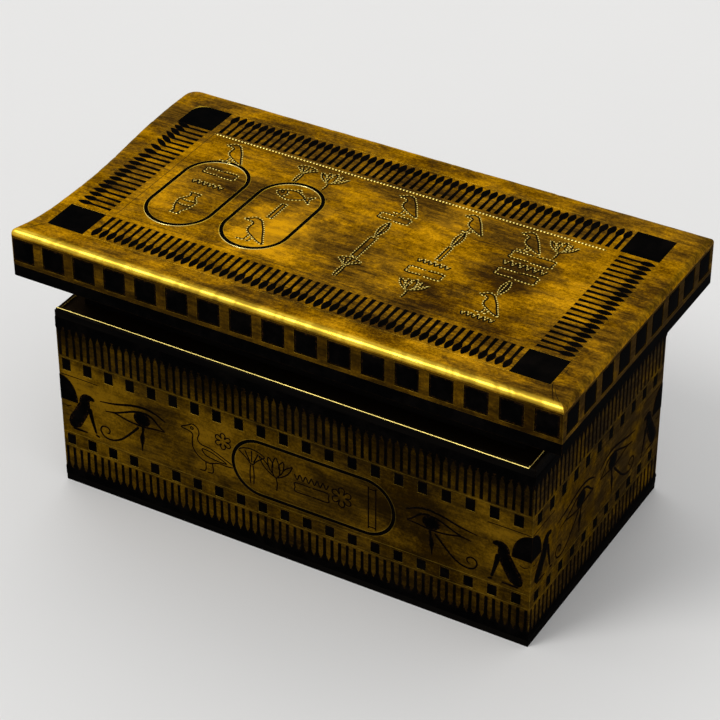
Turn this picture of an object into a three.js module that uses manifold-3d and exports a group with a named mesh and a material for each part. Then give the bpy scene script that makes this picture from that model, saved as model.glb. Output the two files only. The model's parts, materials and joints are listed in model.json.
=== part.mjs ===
// A rectangular gilded coffer with black inlay and a lift-off lid.
// Millimetres, +Z up, +X along the length, the front faces -Y, the origin is at the middle of the base.
import * as THREE from 'three';
import { mergeVertices } from 'three/addons/utils/BufferGeometryUtils.js';
import Module from 'manifold-3d';

const wasm = await Module();
wasm.setup();

// Driving dimensions
const totalHeight = 1265;
const lidLength = 2500;
const lidWidth = 1360;
const endOverhang = 140;
const sideOverhang = 80;
const revealHeight = 165;

// Clearances
const mitreGap = 0.6;
const boardGap = 1;
const seatGap = 0.3;
const lidClearance = 5;
const cutOverrun = 10;

// Lid, from its outline inwards and from its top downwards
const rail = { width: 112, noseHeight: 28, noseRadius: 24, arcSteps: 6 };
const fascia = { thickness: 20, borderHeight: 54 };
const band = { thickness: 6, height: 136, rimHeight: 18 };
const bandWindow = { width: 106, height: 108, longCount: 17, longMargin: 13, shortCount: 9, shortMargin: 29 };
const worn = { frontRadius: 22, backRadius: 60, steps: 8 };
const bow = { depth: 50, deepestY: -265, backReach: 785, steps: 32 };
const sheet = { thickness: 4, gap: 0.5 };
const tile = { side: 173 };
const lidBoard = { count: 3, thickness: 43 };
const lidBatten = { count: 3, width: 120, height: 90, endInset: 260 };
const cleat = { width: 34, drop: 40 };

// Chest, from its outline inwards and from the floor upwards
const plinth = { width: 94, height: 30 };
const frieze = { thickness: 4 };
const friezeWindow = { width: 44, shift: -11, longCount: 21, longMargin: 28, shortCount: 11, shortMargin: 48 };
const upperRow = { topInset: 200, height: 60 };
const lowerRow = { bottomInset: 168, height: 54 };
const wall = { thickness: 60 };
const ledge = { height: 42, edgeWidth: 10 };
const neck = { recessWidth: 90, thickness: 40 };
const floorBoard = { count: 3, thickness: 45 };
const floorBatten = { count: 3, width: 110, endInset: 330 };

// Heights and half sizes that the pieces share
const halfLid = { x: lidLength / 2, y: lidWidth / 2 };
const halfChest = { x: halfLid.x - endOverhang, y: halfLid.y - sideOverhang };
const noseBottom = totalHeight - rail.noseHeight;
const bandBottom = noseBottom - band.height;
const lidBottom = bandBottom - fascia.borderHeight;
const ledgeTop = lidBottom - revealHeight;
const boardTop = totalHeight - sheet.thickness;
const boardBottom = boardTop - lidBoard.thickness;
const battenBottom = boardBottom - lidBatten.height;
const friezeTop = ledgeTop - ledge.height;
const floorTop = plinth.height + floorBoard.thickness;
const panelInset = frieze.thickness + wall.thickness;
const mouthInset = neck.recessWidth + neck.thickness;

// Finishes
const finish = (color, roughness, metalness) => () =>
  new THREE.MeshStandardMaterial({ color, roughness, metalness });
const gilt = finish(0xb07a1e, 0.38, 0.9);
const agedGilt = finish(0x8c5f16, 0.45, 0.85);
const blackInlay = finish(0x0b0908, 0.35, 0);
const blackWood = finish(0x14100c, 0.6, 0);
const cedar = finish(0x6b4426, 0.75, 0);

// A closed geometry as a solid that can be cut, and back again
function toSolid(geometry) {
  const bare = geometry.clone();
  bare.deleteAttribute('normal');
  bare.deleteAttribute('uv');
  const merged = mergeVertices(bare);
  return new wasm.Manifold(new wasm.Mesh({
    numProp: 3,
    vertProperties: new Float32Array(merged.attributes.position.array),
    triVerts: new Uint32Array(merged.index.array),
  }));
}

function toGeometry(solid) {
  const result = solid.getMesh();
  const geometry = new THREE.BufferGeometry();
  geometry.setAttribute('position', new THREE.BufferAttribute(result.vertProperties, 3));
  geometry.setIndex(new THREE.BufferAttribute(result.triVerts, 1));
  return geometry;
}

// Gives each vertex a new place worked out from its old one
function remap(geometry, place) {
  const position = geometry.attributes.position;
  for (let i = 0; i < position.count; i += 1) {
    const [x, y, z] = place(position.getX(i), position.getY(i), position.getZ(i));
    position.setXYZ(i, x, y, z);
  }
  geometry.computeVertexNormals();
  return geometry;
}

// An upright block between two opposite corners
function block(low, high) {
  const cube = new THREE.BoxGeometry(1, 1, 1);
  return remap(cube, (x, y, z) => [
    x < 0 ? low[0] : high[0],
    y < 0 ? low[1] : high[1],
    z < 0 ? low[2] : high[2],
  ]);
}

// A closed outline from a list of points
function outline(points) {
  return new THREE.Shape(points.map(([x, y]) => new THREE.Vector2(x, y)));
}

// A rectangular section between two depths and two heights
const rectangle = (outer, inner, bottom, top) =>
  outline([[outer, bottom], [inner, bottom], [inner, top], [outer, top]]);

// Where a bar ends at a given depth behind its outer face, so that two bars meet at 45 degrees
const mitreEnd = (halfLength, depth) => halfLength - depth - mitreGap / 2;

// A bar along X with a section of depth against height, mitred at both ends, outer face towards -Y
function sectionBar(section, halfLength, offset, steps = 1) {
  const extrusion = new THREE.ExtrudeGeometry(section, { depth: 1, steps, bevelEnabled: false });
  return remap(extrusion, (depth, height, along) => [
    (2 * along - 1) * mitreEnd(halfLength, depth),
    depth - offset,
    height,
  ]);
}

// How far inwards the lid's left end runs at a given y
function bowAt(y) {
  const { depth, deepestY, backReach } = bow;
  if (y < deepestY) return depth * (1 - Math.min(1, (deepestY - y) / (deepestY + halfLid.y)) ** 3);
  return depth * (1 + Math.cos(Math.PI * Math.min(1, (y - deepestY) / backReach))) / 2;
}

// The same bar for the lid's left end: its outer face follows the bow, its inner face stays straight,
// and what the bow pushes past the front mitre is cut off
function bowedBar(section, halfLength, offset) {
  const bar = remap(sectionBar(section, halfLength, offset, bow.steps), (x, y, z) => {
    const share = (rail.width - offset - y) / (rail.width - rail.noseRadius);
    return [x, y + Math.min(1, share) * bowAt(-x), z];
  });
  const mitrePlane = (mitreEnd(halfLength, 0) - offset) / Math.SQRT2;
  return toGeometry(toSolid(bar).trimByPlane([-1, -1, 0], -mitrePlane));
}

const lidBar = (side) => (side === 'left' ? bowedBar : sectionBar);

// A flat strip along X, mitred at both ends, with windows cut right through it
function piercedBar({ bottom, top, thickness, windows, makeBar = sectionBar }, halfLength, offset) {
  const strip = makeBar(rectangle(0, thickness, bottom, top), halfLength, offset);
  const cutters = windows.map(({ x, z, width, height }) => toSolid(block(
    [x - width / 2, -offset - cutOverrun, z - height / 2],
    [x + width / 2, thickness - offset + bow.depth + cutOverrun, z + height / 2],
  )));
  return toGeometry(cutters.reduce((left, cutter) => left.subtract(cutter), toSolid(strip)));
}

// The four sides of a rectangle, each turned a quarter turn further round than the last
const sides = ['front', 'right', 'back', 'left'];

function ring(name, half, material, makeBar) {
  const group = new THREE.Group();
  sides.forEach((side, turn) => {
    const isLong = turn % 2 === 0;
    const halfLength = isLong ? half.x : half.y;
    const offset = isLong ? half.y : half.x;
    const mesh = new THREE.Mesh(makeBar({ side, isLong, halfLength, offset }), material());
    mesh.name = `${name}_${side}`;
    mesh.rotation.z = turn * Math.PI / 2;
    group.add(mesh);
  });
  return group;
}

const sectionRing = (name, half, material, section, barFor = () => sectionBar) =>
  ring(name, half, material, ({ side, halfLength, offset }) => barFor(side)(section, halfLength, offset));

function piece(name, geometry, material) {
  const mesh = new THREE.Mesh(geometry, material());
  mesh.name = name;
  return mesh;
}

// Evenly spread places, the first and last a given distance from the middle
const spread = (count, reach) =>
  Array.from({ length: count }, (_, i) => reach * (2 * i / (count - 1) - 1));

// The middles of a side's windows, spread between its end margins
function windowPlaces(pattern, isLong, halfLength) {
  const count = isLong ? pattern.longCount : pattern.shortCount;
  const margin = isLong ? pattern.longMargin : pattern.shortMargin;
  return spread(count, halfLength - margin - pattern.width / 2);
}

// Boards laid side by side from front to back, with a gap beside each one
function boards({ name, count, half, bottom, top, material }) {
  const group = new THREE.Group();
  const width = (2 * half.y - (count + 1) * boardGap) / count;
  for (let i = 0; i < count; i += 1) {
    const start = -half.y + boardGap + i * (width + boardGap);
    const low = [-half.x + boardGap, start, bottom];
    const high = [half.x - boardGap, start + width, top];
    group.add(piece(`${name}_${i + 1}`, block(low, high), material));
  }
  return group;
}

// Battens across the width, spread along the length
function battens({ name, count, width, reach, halfSpan, bottom, top, material }) {
  const group = new THREE.Group();
  spread(count, reach).forEach((x, i) => {
    const low = [x - width / 2, -halfSpan, bottom];
    const high = [x + width / 2, halfSpan, top];
    group.add(piece(`${name}_${i + 1}`, block(low, high), material));
  });
  return group;
}

// A square block in each corner of a rectangle, counted from the front left one towards the right
function cornerBlocks({ name, outer, side, bottom, top, material }) {
  const group = new THREE.Group();
  [[-1, -1], [1, -1], [1, 1], [-1, 1]].forEach(([signX, signY], i) => {
    const xs = [signX * outer.x, signX * (outer.x - side)].sort((a, b) => a - b);
    const ys = [signY * outer.y, signY * (outer.y - side)].sort((a, b) => a - b);
    const geometry = block([xs[0], ys[0], bottom], [xs[1], ys[1], top]);
    group.add(piece(`${name}_${i + 1}`, geometry, material));
  });
  return group;
}

// Chest

// Two rows of windows, both a little left of the middle of their face
function friezeWindows(isLong, halfLength) {
  const rows = [
    { z: friezeTop - upperRow.topInset - upperRow.height / 2, height: upperRow.height },
    { z: plinth.height + lowerRow.bottomInset + lowerRow.height / 2, height: lowerRow.height },
  ];
  const { width, shift } = friezeWindow;
  const places = windowPlaces(friezeWindow, isLong, halfLength).map((x) => x + shift);
  return rows.flatMap((row) => places.map((x) => ({ x, width, ...row })));
}

function friezeRing() {
  return ring('gilt_frieze', halfChest, agedGilt, ({ isLong, halfLength, offset }) => piercedBar({
    bottom: plinth.height,
    top: friezeTop,
    thickness: frieze.thickness,
    windows: friezeWindows(isLong, halfLength),
  }, halfLength, offset));
}

function cornerPosts() {
  const outer = { x: halfChest.x - frieze.thickness, y: halfChest.y - frieze.thickness };
  return cornerBlocks({
    name: 'corner_post',
    outer,
    side: wall.thickness,
    bottom: plinth.height,
    top: friezeTop,
    material: blackWood,
  });
}

// A plank panel on each side, standing between the corner posts
function walls() {
  return ring('wall', halfChest, blackWood, ({ halfLength, offset }) => {
    const reach = halfLength - panelInset;
    return block([-reach, frieze.thickness - offset, plinth.height], [reach, panelInset - offset, friezeTop]);
  });
}

function ledgeSection() {
  return outline([
    [0, friezeTop],
    [mouthInset, friezeTop],
    [mouthInset, ledgeTop],
    [ledge.edgeWidth, ledgeTop],
    [0, ledgeTop - ledge.edgeWidth],
  ]);
}

function chest() {
  const group = new THREE.Group();
  const panelHalf = { x: halfChest.x - panelInset, y: halfChest.y - panelInset };
  group.add(sectionRing('plinth', halfChest, blackWood, rectangle(0, plinth.width, 0, plinth.height)));
  group.add(battens({
    name: 'floor_batten',
    count: floorBatten.count,
    width: floorBatten.width,
    reach: halfChest.x - floorBatten.endInset,
    halfSpan: halfChest.y - plinth.width,
    bottom: 0,
    top: plinth.height,
    material: cedar,
  }));
  group.add(boards({
    name: 'floor_board',
    count: floorBoard.count,
    half: panelHalf,
    bottom: plinth.height,
    top: floorTop,
    material: cedar,
  }));
  group.add(cornerPosts());
  group.add(walls());
  group.add(friezeRing());
  group.add(sectionRing('ledge_rail', halfChest, blackWood, ledgeSection()));
  const neckSection = rectangle(neck.recessWidth, mouthInset, ledgeTop, battenBottom);
  group.add(sectionRing('neck', halfChest, blackWood, neckSection));
  return group;
}

// Lid

function railSection() {
  const nose = Array.from({ length: rail.arcSteps + 1 }, (_, i) => {
    const angle = (i / rail.arcSteps) * Math.PI / 2;
    return [
      rail.noseRadius * (1 - Math.sin(angle)),
      totalHeight - rail.noseRadius * (1 - Math.cos(angle)),
    ];
  });
  return outline([
    [fascia.thickness, lidBottom],
    [rail.width, lidBottom],
    [rail.width, totalHeight],
    ...nose,
    [0, noseBottom],
    [fascia.thickness, noseBottom],
  ]);
}

function fasciaSection() {
  const inner = fascia.thickness - seatGap;
  const bandSeat = band.thickness + seatGap;
  return outline([
    [0, lidBottom],
    [inner, lidBottom],
    [inner, noseBottom],
    [bandSeat, noseBottom],
    [bandSeat, bandBottom],
    [0, bandBottom],
  ]);
}

function bandWindows(isLong, halfLength) {
  const { width, height } = bandWindow;
  const z = bandBottom + band.rimHeight + height / 2;
  return windowPlaces(bandWindow, isLong, halfLength).map((x) => ({ x, z, width, height }));
}

function bandRing() {
  return ring('gilt_band', halfLid, gilt, ({ side, isLong, halfLength, offset }) => piercedBar({
    bottom: bandBottom,
    top: noseBottom,
    thickness: band.thickness,
    windows: bandWindows(isLong, halfLength),
    makeBar: lidBar(side),
  }, halfLength, offset));
}

// What the wear has taken off one of the lid's left corners, as an upright cutter behind an arc
function cornerCutter(signY, radius) {
  const arc = Array.from({ length: worn.steps + 1 }, (_, i) => {
    const angle = (i / worn.steps) * Math.PI / 2;
    return [radius * (1 - Math.cos(angle)), radius * (1 - Math.sin(angle))];
  });
  const outside = [[radius, -cutOverrun], [-cutOverrun, -cutOverrun], [-cutOverrun, radius]];
  const shape = outline([...outside, ...arc].map(([fromEnd, fromSide]) => {
    const y = signY * (halfLid.y - fromSide);
    return [fromEnd - halfLid.x + bowAt(y), y];
  }));
  const depth = totalHeight - lidBottom + 2 * cutOverrun;
  const extrusion = new THREE.ExtrudeGeometry(shape, { depth, bevelEnabled: false });
  return extrusion.translate(0, 0, lidBottom - cutOverrun);
}

// Rounds the two worn corners at the left end of a ring of bars
function wear(group) {
  for (const [side, signY, radius] of [['back', 1, worn.backRadius], ['front', -1, worn.frontRadius]]) {
    const bars = group.children.filter(({ name }) => name.endsWith(`_${side}`) || name.endsWith('_left'));
    for (const mesh of bars) {
      mesh.updateMatrix();
      const local = cornerCutter(signY, radius).applyMatrix4(mesh.matrix.clone().invert());
      mesh.geometry = toGeometry(toSolid(mesh.geometry).subtract(toSolid(local)));
    }
  }
  return group;
}

// The thin gilt top, notched at its corners for the black tiles
function sheetGeometry(inner) {
  const reach = { x: inner.x - sheet.gap, y: inner.y - sheet.gap };
  const notch = { x: inner.x - tile.side - sheet.gap, y: inner.y - tile.side - sheet.gap };
  const shape = outline([
    [-reach.x, -notch.y],
    [-notch.x, -notch.y],
    [-notch.x, -reach.y],
    [notch.x, -reach.y],
    [notch.x, -notch.y],
    [reach.x, -notch.y],
    [reach.x, notch.y],
    [notch.x, notch.y],
    [notch.x, reach.y],
    [-notch.x, reach.y],
    [-notch.x, notch.y],
    [-reach.x, notch.y],
  ]);
  const extrusion = new THREE.ExtrudeGeometry(shape, { depth: 1, bevelEnabled: false });
  return remap(extrusion, (x, y, end) => [x, y, end > 0 ? totalHeight : boardTop]);
}

function cornerTiles(inner) {
  return cornerBlocks({
    name: 'corner_tile',
    outer: inner,
    side: tile.side,
    bottom: boardTop,
    top: totalHeight,
    material: blackInlay,
  });
}

// A frame below the battens that drops inside the neck and keeps the lid in place
function cleatRing() {
  const inset = mouthInset + lidClearance;
  const section = rectangle(inset, inset + cleat.width, battenBottom - cleat.drop, battenBottom);
  return sectionRing('locating_cleat', halfChest, cedar, section);
}

function lid() {
  const group = new THREE.Group();
  const inner = { x: halfLid.x - rail.width, y: halfLid.y - rail.width };
  group.add(wear(sectionRing('lid_rail', halfLid, gilt, railSection(), lidBar)));
  group.add(wear(sectionRing('black_fascia', halfLid, blackInlay, fasciaSection(), lidBar)));
  group.add(wear(bandRing()));
  group.add(battens({
    name: 'lid_batten',
    count: lidBatten.count,
    width: lidBatten.width,
    reach: halfLid.x - lidBatten.endInset,
    halfSpan: inner.y,
    bottom: battenBottom,
    top: boardBottom,
    material: cedar,
  }));
  group.add(boards({
    name: 'lid_board',
    count: lidBoard.count,
    half: inner,
    bottom: boardBottom,
    top: boardTop,
    material: cedar,
  }));
  group.add(cleatRing());
  group.add(piece('gilt_top_sheet', sheetGeometry(inner), gilt));
  group.add(cornerTiles(inner));
  return group;
}

const coffer = new THREE.Group();
coffer.add(chest(), lid());
export default coffer;
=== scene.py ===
# Gilded and black-inlaid sarcophagus: its looks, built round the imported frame.
# Metres, +Z up, the long front faces -Y. Drawings of ornament are in millimetres on a face.
import bmesh
import bpy
import json
import math
import numpy as np
from mathutils import Matrix, Vector


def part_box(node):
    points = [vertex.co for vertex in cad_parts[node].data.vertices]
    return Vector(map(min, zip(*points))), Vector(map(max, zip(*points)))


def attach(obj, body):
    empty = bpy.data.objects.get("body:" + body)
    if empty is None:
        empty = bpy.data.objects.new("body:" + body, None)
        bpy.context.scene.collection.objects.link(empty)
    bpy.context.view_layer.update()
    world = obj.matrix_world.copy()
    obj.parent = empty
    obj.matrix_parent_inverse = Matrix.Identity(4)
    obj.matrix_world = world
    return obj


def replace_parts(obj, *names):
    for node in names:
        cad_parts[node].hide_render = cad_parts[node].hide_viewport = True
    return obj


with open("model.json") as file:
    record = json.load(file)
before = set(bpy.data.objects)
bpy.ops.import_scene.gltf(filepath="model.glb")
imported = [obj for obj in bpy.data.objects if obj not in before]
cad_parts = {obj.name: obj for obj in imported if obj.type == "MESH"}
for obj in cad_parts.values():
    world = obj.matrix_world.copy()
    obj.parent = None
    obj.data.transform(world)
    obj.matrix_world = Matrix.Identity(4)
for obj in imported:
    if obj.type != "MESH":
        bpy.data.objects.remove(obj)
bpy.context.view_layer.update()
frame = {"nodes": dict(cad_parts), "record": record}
nodes = frame["nodes"]
mm = 0.001
chance = np.random.default_rng(31)
print("frame loaded:", len(nodes), "nodes")

# Node helpers. A maths helper takes sockets and numbers, and works in the tree of the socket it is given.


def addNode(tree, kind, links=None, **settings):
    made = tree.nodes.new(kind)
    for key, value in settings.items():
        setattr(made, key, value)
    for key, value in (links or {}).items():
        fill(made.inputs[key], value)
    return made


def fill(socket, value):
    if isinstance(value, bpy.types.NodeSocket):
        socket.id_data.links.new(value, socket)
    else:
        socket.default_value = value


def maths(operation, first, second, clamp=False):
    tree = (first if isinstance(first, bpy.types.NodeSocket) else second).id_data
    made = addNode(tree, "ShaderNodeMath", {0: first, 1: second}, operation=operation, use_clamp=clamp)
    return made.outputs[0]


def plus(first, second, clamp=False):
    return maths("ADD", first, second, clamp)


def minus(first, second):
    return maths("SUBTRACT", first, second)


def times(first, second, clamp=False):
    return maths("MULTIPLY", first, second, clamp)


def larger(first, second, clamp=False):
    return maths("MAXIMUM", first, second, clamp)


def ramp(value, low, high, toLow=0.0, toHigh=1.0):
    # smooth step of the value from low..high to toLow..toHigh
    return addNode(value.id_data, "ShaderNodeMapRange", {
        "Value": value, "From Min": low, "From Max": high, "To Min": toLow, "To Max": toHigh,
    }, interpolation_type="SMOOTHSTEP").outputs["Result"]


def mixed(share, first, second):
    links = {0: share, 6: first, 7: second}
    return addNode(share.id_data, "ShaderNodeMix", links, data_type="RGBA").outputs[2]


def stretched(vector, scale):
    return addNode(vector.id_data, "ShaderNodeMapping", {"Vector": vector, "Scale": scale}).outputs[0]


def noise(vector, scale, detail=4.0, rough=0.55, warp=0.0):
    return addNode(vector.id_data, "ShaderNodeTexNoise", {
        "Vector": vector, "Scale": scale, "Detail": detail, "Roughness": rough, "Distortion": warp,
    }).outputs["Fac"]


def bumped(height, strength, distance, normal):
    links = {"Height": height, "Strength": strength, "Distance": distance, "Normal": normal}
    return addNode(height.id_data, "ShaderNodeBump", links).outputs[0]


def newGroup(name, inputs, outputs):
    # Every group takes a Vector; its other inputs are numbers, or vectors where three numbers are given
    tree = bpy.data.node_groups.new(name, "ShaderNodeTree")
    for label, value in {"Vector": None, **inputs}.items():
        kind = "NodeSocketFloat" if isinstance(value, float) else "NodeSocketVector"
        socket = tree.interface.new_socket(name=label, in_out="INPUT", socket_type=kind)
        if value is not None:
            socket.default_value = value
    for label in outputs:
        kind = "NodeSocketVector" if label == "Normal" else "NodeSocketFloat"
        tree.interface.new_socket(name=label, in_out="OUTPUT", socket_type=kind)
    return tree, tree.nodes.new("NodeGroupInput").outputs, tree.nodes.new("NodeGroupOutput").inputs


def useGroup(group, place, **values):
    made = addNode(place.id_data, "ShaderNodeGroup", node_tree=group)
    fill(made.inputs["Vector"], place)
    for key, value in values.items():
        fill(made.inputs[key], value)
    return made.outputs


# Effects that several materials share


def patinaGroup():
    # Brown stain in soft clouds broken by finer mottling, a tone that shifts from patch to patch,
    # flecks a few millimetres across, and dark pin holes
    tree, given, out = newGroup("patina", {"CloudScale": 2.4, "Cover": 0.45, "Pits": 0.4},
                                ("Stain", "Tone", "Fleck", "Height"))
    place = given["Vector"]
    long = stretched(place, (0.7, 1.4, 1.4))
    cloud = noise(long, given["CloudScale"], 7.0, 0.66, 0.4)
    mottle = noise(long, 17, 7, 0.72, 0.35)
    blend = plus(times(cloud, 0.62), times(mottle, 0.38))
    edge = minus(0.80, times(given["Cover"], 0.5))
    stain = ramp(blend, minus(edge, 0.12), plus(edge, 0.08))
    dots = addNode(tree, "ShaderNodeTexVoronoi", {"Vector": place, "Scale": 95.0}).outputs["Distance"]
    rare = ramp(noise(place, 11, 2), 0.5, 0.66)
    pits = times(times(ramp(dots, 0.26, 0.12), rare), given["Pits"])
    fill(out["Stain"], larger(stain, pits))
    fill(out["Tone"], ramp(noise(long, 6.5, 8, 0.74, 0.25), 0.34, 0.66))
    fill(out["Fleck"], ramp(noise(place, 75, 6, 0.85), 0.38, 0.62))
    fill(out["Height"], minus(noise(place, 5.0, 3), times(pits, 0.35)))
    return tree


def brushGroup():
    # Fine lines left by laying and rubbing the leaf, drawn out along one direction
    tree, given, out = newGroup("brushing", {"Stretch": (1.2, 60.0, 60.0)}, ("Line", "Height"))
    long = stretched(given["Vector"], given["Stretch"])
    lines = plus(times(noise(long, 2.4, 5, 0.7), 0.6), times(noise(long, 0.55, 3, 0.6), 0.4))
    fill(out["Line"], ramp(lines, 0.34, 0.66))
    fill(out["Height"], plus(lines, times(noise(given["Vector"], 420, 2), 0.35)))
    return tree


def edgeGroup():
    # Where rounding off the mesh would turn its normal: 1 along sharp edges, broken up by noise
    tree, given, out = newGroup("edgeWear", {"Reach": 0.004, "Break": 0.5}, ("Edge", "Normal"))
    rounded = addNode(tree, "ShaderNodeBevel", {"Radius": given["Reach"]}, samples=4).outputs[0]
    true = tree.nodes.new("ShaderNodeNewGeometry").outputs["True Normal"]
    facing = addNode(tree, "ShaderNodeVectorMath", {0: rounded, 1: true}, operation="DOT_PRODUCT")
    patchy = ramp(noise(given["Vector"], 34, 5, 0.7), 0.38, 0.60)
    keep = minus(1.0, times(minus(1.0, patchy), given["Break"]))
    fill(out["Edge"], times(ramp(facing.outputs["Value"], 0.995, 0.86), keep))
    fill(out["Normal"], rounded)
    return tree


def grainGroup():
    # Plank grain: a sine of noise gives the rings, drawn out along the plank, with short dark pores
    tree, given, out = newGroup("woodGrain", {"Stretch": (1.0, 9.0, 9.0), "Rings": 5.0},
                                ("Grain", "Pore", "Height"))
    long = stretched(given["Vector"], given["Stretch"])
    rings = maths("SINE", times(times(noise(long, 0.8, 3), given["Rings"]), 6.283), 0.0)
    fibre = noise(stretched(long, (1.5, 14, 14)), 1.0, 4, 0.7)
    pore = ramp(noise(stretched(long, (4, 45, 45)), 1.0, 2), 0.62, 0.74)
    fill(out["Grain"], plus(times(ramp(rings, -0.9, 1.0), 0.55), times(fibre, 0.45)))
    fill(out["Pore"], pore)
    fill(out["Height"], minus(fibre, pore))
    return tree


def dustGroup():
    # Dust lying on whatever faces up, in uneven drifts
    tree, given, out = newGroup("dust", {"Amount": 0.3}, ("Dust",))
    normal = tree.nodes.new("ShaderNodeNewGeometry").outputs["True Normal"]
    up = ramp(addNode(tree, "ShaderNodeSeparateXYZ", {0: normal}).outputs["Z"], 0.2, 0.95)
    drift = ramp(noise(given["Vector"], 6, 6, 0.66), 0.35, 0.75)
    fill(out["Dust"], times(times(up, drift), given["Amount"]))
    return tree


def spotGroup():
    # A ragged spot round a centre: 1 in its middle, 0 from its reach outwards
    tree, given, out = newGroup("spot", {"Centre": (0.0, 0.0, 0.0), "Reach": 0.2, "Ragged": 0.5}, ("Spot",))
    far = addNode(tree, "ShaderNodeVectorMath", {0: given["Vector"], 1: given["Centre"]},
                  operation="DISTANCE").outputs["Value"]
    fray = times(minus(noise(given["Vector"], 7, 6, 0.68, 0.3), 0.5), given["Ragged"])
    fill(out["Spot"], ramp(plus(maths("DIVIDE", far, given["Reach"]), times(fray, 4.0)), 1.0, 0.1))
    return tree


patina, brushing, edgeWear, woodGrain = patinaGroup(), brushGroup(), edgeGroup(), grainGroup()
dust, spot = dustGroup(), spotGroup()

# Finishes


def newMaterial(name, specular):
    material = bpy.data.materials.new(name)
    material.use_nodes = True
    shader = material.node_tree.nodes["Principled BSDF"].inputs
    shader["Specular IOR Level"].default_value = specular
    place = material.node_tree.nodes.new("ShaderNodeTexCoord").outputs["Object"]
    return material, shader, place


def readMark(place, name):
    return addNode(place.id_data, "ShaderNodeAttribute", attribute_name=name).outputs["Fac"]


giltShade = (0.003, 0.002, 0.001, 1)   # the colour of painted shade in grooves and on the ledge under the lid, and of the chest's darkening by height
giltFinish = {
    # spots: where the gold is more rubbed (above 0) or more stained (below 0), as centre, reach and amount;
    # the spots over the right ends of the band and the chest are painted shade
    # darkenByHeight: the lid's shade painted over the chest's upper part, and a darkening towards its foot,
    # each as the height where it begins, the height where it is darkest, and how much
    "lid": {
        "deep": (0.045, 0.016, 0.0004, 1), "light": (0.60, 0.290, 0.0115, 1),
        "bright": (1.0, 0.67, 0.06, 1), "glint": (1.0, 0.94, 0.44, 1), "stain": (0.012, 0.005, 0.0004, 1),
        "cloudScale": 2.6, "cover": 0.56, "pits": 0.9, "stretch": (3.6, 46, 46), "rough": 0.41, "darkenByHeight": [],
        "spots": [((-0.29, -0.17, 1.26), 0.30, 0.60), ((0.66, 0.02, 1.26), 0.20, -0.55),
                  ((0.47, -0.26, 1.26), 0.18, -0.42), ((0.43, -0.55, 1.26), 0.14, -0.35),
                  ((-0.58, 0.06, 1.26), 0.18, -0.14), ((0.98, 0.02, 1.26), 0.28, 0.34),
                  ((-0.90, -0.08, 1.26), 0.26, 0.34), ((0.78, -0.34, 1.26), 0.14, -0.35),
                  ((0.02, 0.55, 1.26), 0.30, -0.25), ((0.30, 0.27, 1.26), 0.16, 0.35),
                  ((1.25, 0.20, 1.22), 0.50, -0.12)],
    },
    # band and chest: darker copies of the lid's gold, with more patina and with painted shade of the upright
    # faces that the light reaches less
    "band": {
        "deep": (0.034, 0.014, 0.0005, 1), "light": (0.22, 0.108, 0.0055, 1),
        "bright": (0.70, 0.43, 0.045, 1), "glint": (1.0, 0.80, 0.30, 1), "stain": (0.010, 0.005, 0.0005, 1),
        "cloudScale": 4.0, "cover": 0.62, "pits": 0.9, "stretch": (3.0, 3.0, 30), "rough": 0.47, "darkenByHeight": [],
        # this spot over the right end is painted shade of the side that faces away from the light
        "spots": [((1.50, 0.1, 1.17), 1.1, -0.90)],
    },
    "chest": {
        "deep": (0.017, 0.0080, 0.0005, 1), "light": (0.185, 0.096, 0.0054, 1),
        "bright": (0.60, 0.39, 0.05, 1), "glint": (1.0, 0.88, 0.32, 1), "stain": (0.008, 0.004, 0.0004, 1),
        "cloudScale": 3.0, "cover": 0.56, "pits": 0.6, "stretch": (4.0, 4.0, 42), "rough": 0.49,
        # painted shade of the lid over the chest from 0.55 m up, and a darkening towards the foot below 0.17
        # m
        "darkenByHeight": [(0.55, 0.80, 0.88), (0.17, 0.05, 0.45)],
        "spots": [((0.54, -0.60, 0.52), 0.26, -0.34), ((-0.95, -0.60, 0.45), 0.34, 0.45),
                  ((-0.30, -0.60, 0.45), 0.26, 0.40), ((0.98, -0.60, 0.48), 0.24, 0.30),
                  ((-0.60, -0.60, 0.50), 0.20, -0.26), ((1.11, 0.56, 0.45), 0.46, -0.55),
                  # the last spot, over the right end, is painted shade of the side that faces away from the
                  # light
                  ((0.66, -0.60, 0.26), 0.34, -0.34), ((1.90, 0.10, 0.40), 1.15, -1.30)],
    },
}
giltShares = {   # how much each effect counts, in every gilt finish
    "patches": 0.48, "lines": 0.25, "flecks": 0.38, "contrast": 1.5, "edges": 0.35,
    "spotStain": -0.7, "stainWornOff": 0.8, "stain": 0.88, "streaks": 0.45, "dullMetal": 0.45,
    "roughDirt": 0.30, "roughLines": -0.10, "roughWorn": -0.08, "roughGlint": -0.14,
}


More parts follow.
